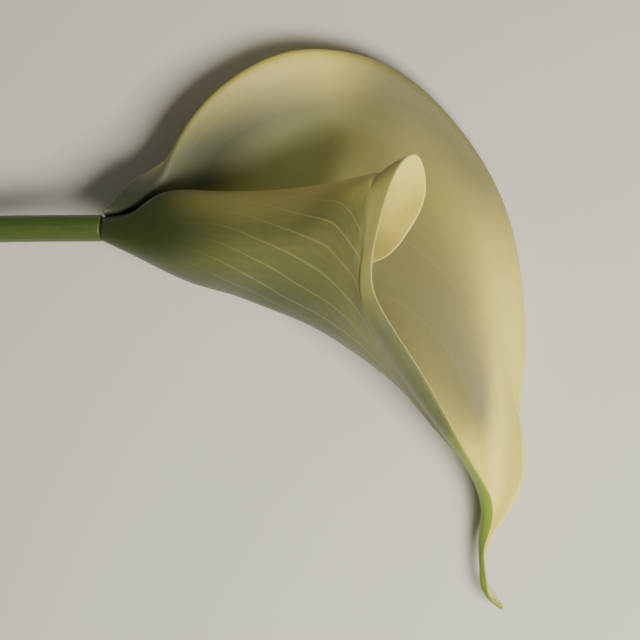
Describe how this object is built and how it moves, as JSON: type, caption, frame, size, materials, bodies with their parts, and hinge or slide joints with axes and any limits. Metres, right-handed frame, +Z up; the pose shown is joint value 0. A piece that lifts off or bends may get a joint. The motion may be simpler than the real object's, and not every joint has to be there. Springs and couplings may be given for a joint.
{
  "type": "arum lily flower",
  "caption": "Picked arum lily flower lying down: one rolled cream spathe with a curled cusp, a floret-covered spadix inside the roll and a cut green stem.",
  "frame": {"origin": "on the surface the flower lies on, under the middle of its bounding box", "axes": "+X from the stem's cut towards the mouth of the spathe, +Y across, away from the cusp, +Z up out of the surface"},
  "size_m": [0.2556, 0.1784, 0.0637],
  "materials": {
    "stem_green": "smooth, slightly waxy skin",
    "spathe_cream": "soft satin petal, greener outside and towards the base and cusp",
    "spadix_yellow": "matt, mealy with pollen"
  },
  "bodies": {
    "root": {"stem": "stem_green", "spathe": "spathe_cream", "spadix": "spadix_yellow"}
  },
  "joints": []
}
